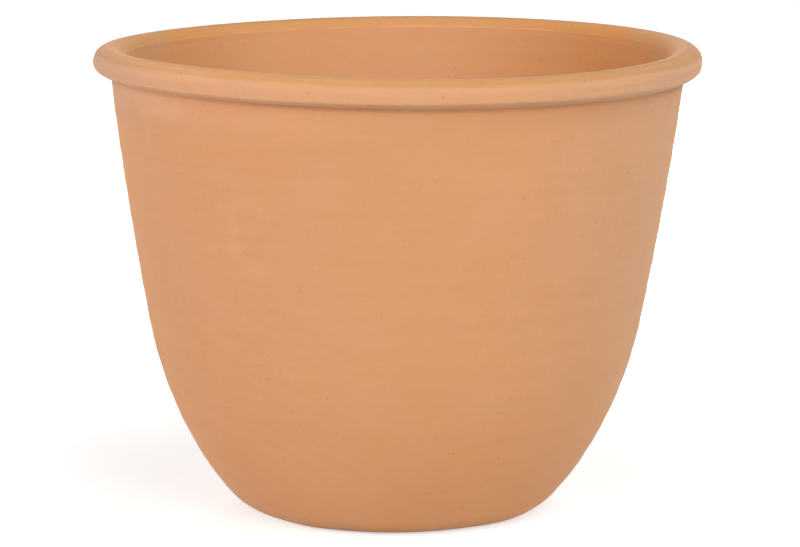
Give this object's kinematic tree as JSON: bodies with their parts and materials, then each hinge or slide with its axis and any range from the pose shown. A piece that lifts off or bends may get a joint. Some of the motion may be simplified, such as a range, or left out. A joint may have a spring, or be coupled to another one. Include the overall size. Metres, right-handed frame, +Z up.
{
  "type": "flower pot",
  "caption": "Egg-shaped terracotta flower pot with a thick rolled rim, a foot ring to stand on and a drain hole in the middle of its floor.",
  "frame": {"origin": "middle of the foot ring's underside, on the surface that the pot stands on", "axes": "+Z up along the pot's axis; the pot is round about Z, and in the picture +X points right and -Y towards the viewer"},
  "size_m": [0.4, 0.4, 0.3078],
  "materials": {
    "terracotta": "matt, unglazed"
  },
  "bodies": {
    "root": {"floor": "terracotta", "wall": "terracotta", "rim_roll": "terracotta"}
  },
  "joints": []
}
